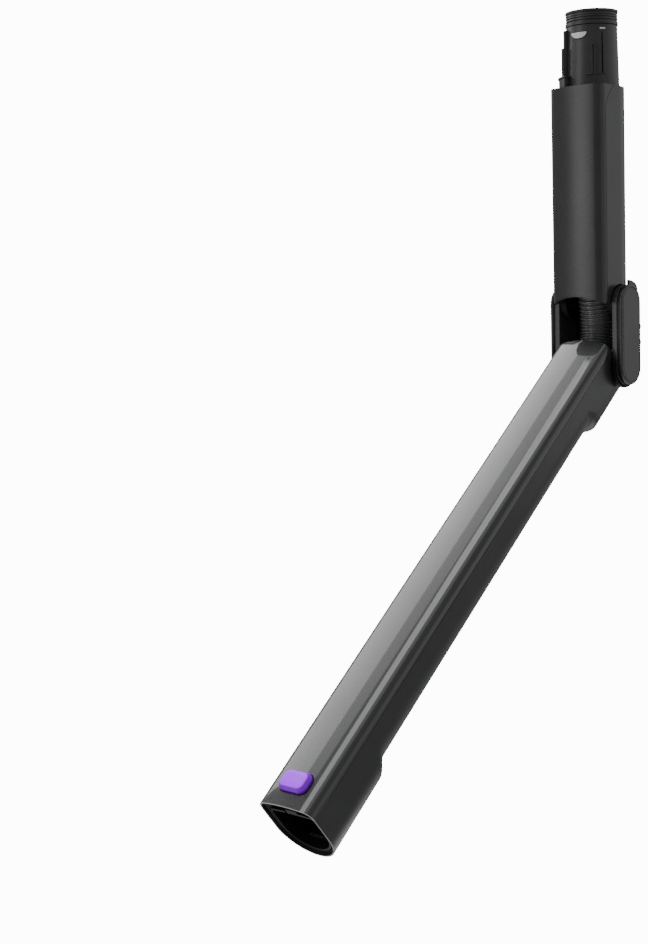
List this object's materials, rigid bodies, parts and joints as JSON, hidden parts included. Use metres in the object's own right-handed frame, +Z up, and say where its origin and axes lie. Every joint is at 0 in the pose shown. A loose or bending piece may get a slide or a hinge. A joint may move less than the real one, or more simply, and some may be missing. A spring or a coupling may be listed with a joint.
{
  "type": "folding vacuum wand",
  "caption": "Folding extension wand of a stick vacuum: two tubes joined by a double-pivot link joint with a hose, a ribbed neck on top and a socket with a push button below.",
  "frame": {"origin": "on the neck's axis at the neck's tip, where the wand enters the hand unit", "axes": "+Z up along the upper wand, -Y the front that carries the release button, X the width; the lower wand is bent forward by 51 degrees at rest"},
  "size_m": [0.0656, 0.3958, 0.5731],
  "materials": {
    "shell_satin": "satin charcoal moulded plastic",
    "front_metallic": "glossy graphite paint with fine metal flake",
    "neck_plastic": "fine-grained dark moulded plastic",
    "joint_plastic": "satin dark grey moulded plastic",
    "inner_black": "plain black moulded plastic",
    "hose_rubber": "black corrugated hose",
    "button_violet": "glossy violet plastic",
    "seal_rubber": "dark soft seal",
    "steel": "plain steel",
    "window_clear": "pale catch plate"
  },
  "bodies": {
    "upper_wand": {"upper_rear_shell": "shell_satin", "upper_front_cover": "shell_satin", "shoulder_plate": "shell_satin", "upper_duct": "inner_black", "joint_bulkhead": "inner_black", "upper_hub_left": "inner_black", "upper_hub_right": "inner_black", "upper_hose_cuff": "seal_rubber", "neck_spigot": "neck_plastic", "neck_seal_ring": "seal_rubber", "guide_rail_left": "neck_plastic", "guide_rail_right": "neck_plastic", "guide_foot_left": "neck_plastic", "guide_foot_right": "neck_plastic", "latch_plate": "window_clear", "terminal_block": "inner_black", "terminal_pin_1": "steel", "terminal_pin_2": "steel", "terminal_pin_3": "steel"},
    "links": {"link_arm_left": "joint_plastic", "link_arm_right": "joint_plastic", "link_cap_left": "joint_plastic", "link_cap_right": "joint_plastic", "upper_pin_left": "steel", "upper_pin_right": "steel", "lower_pin_left": "steel", "lower_pin_right": "steel", "rear_guard": "joint_plastic", "guard_screw_1": "steel", "guard_screw_2": "steel", "guard_screw_3": "steel", "guard_screw_4": "steel", "hose_upper": "hose_rubber", "hose_lower": "hose_rubber"},
    "lower_wand": {"lower_rear_shell": "shell_satin", "lower_front_cover": "front_metallic", "lower_duct": "inner_black", "lower_hub_left": "inner_black", "lower_hub_right": "inner_black", "lower_hose_cuff": "seal_rubber", "lever_pin": "steel", "socket_liner": "inner_black", "socket_rim": "inner_black", "contact_block": "inner_black", "contact_pin_1": "steel", "contact_pin_2": "steel", "contact_pin_3": "steel", "button_spring": "steel"},
    "fold_lever": {"fold_lever": "joint_plastic"},
    "lock_bolt": {"lock_bolt": "steel"},
    "release_button": {"release_button": "button_violet"},
    "latch_pawl": {"latch_pawl": "button_violet"}
  },
  "joints": [
    {"name": "upper_fold", "type": "hinge", "parent": "upper_wand", "child": "links", "pos_m": [0, 0, -0.2215], "axis": [-1, 0, 0], "range_deg": [0, 65], "deforming": ["hose_upper"]},
    {"name": "lower_fold", "type": "hinge", "parent": "links", "child": "lower_wand", "pos_m": [0, 0, -0.271], "axis": [-1, 0, 0], "range_deg": [-51, 14], "deforming": ["hose_lower"]},
    {"name": "lever_press", "type": "hinge", "parent": "lower_wand", "child": "fold_lever", "pos_m": [0, 0.00383, -0.29321], "axis": [-1, 0, 0], "range_deg": [0, 5], "stiffness_Nm_per_rad": 1.2, "springref_deg": -2.86},
    {"name": "bolt_slide", "type": "slide", "parent": "lower_wand", "child": "lock_bolt", "axis": [0, -0.7771, -0.6293], "range_m": [0, 0.003]},
    {"name": "button_press", "type": "slide", "parent": "lower_wand", "child": "release_button", "axis": [0, 0.6293, -0.7771], "range_m": [0, 0.0022], "stiffness_N_per_m": 700, "springref_m": -0.001, "deforming": ["button_spring"]},
    {"name": "pawl_slide", "type": "slide", "parent": "lower_wand", "child": "latch_pawl", "axis": [0, -0.6293, 0.7771], "range_m": [0, 0.0022]}
  ],
  "couplings": [
    {"joint": "bolt_slide", "follows": "lever_press", "m_per_rad": 0.03437},
    {"joint": "pawl_slide", "follows": "button_press", "ratio": 1}
  ]
}
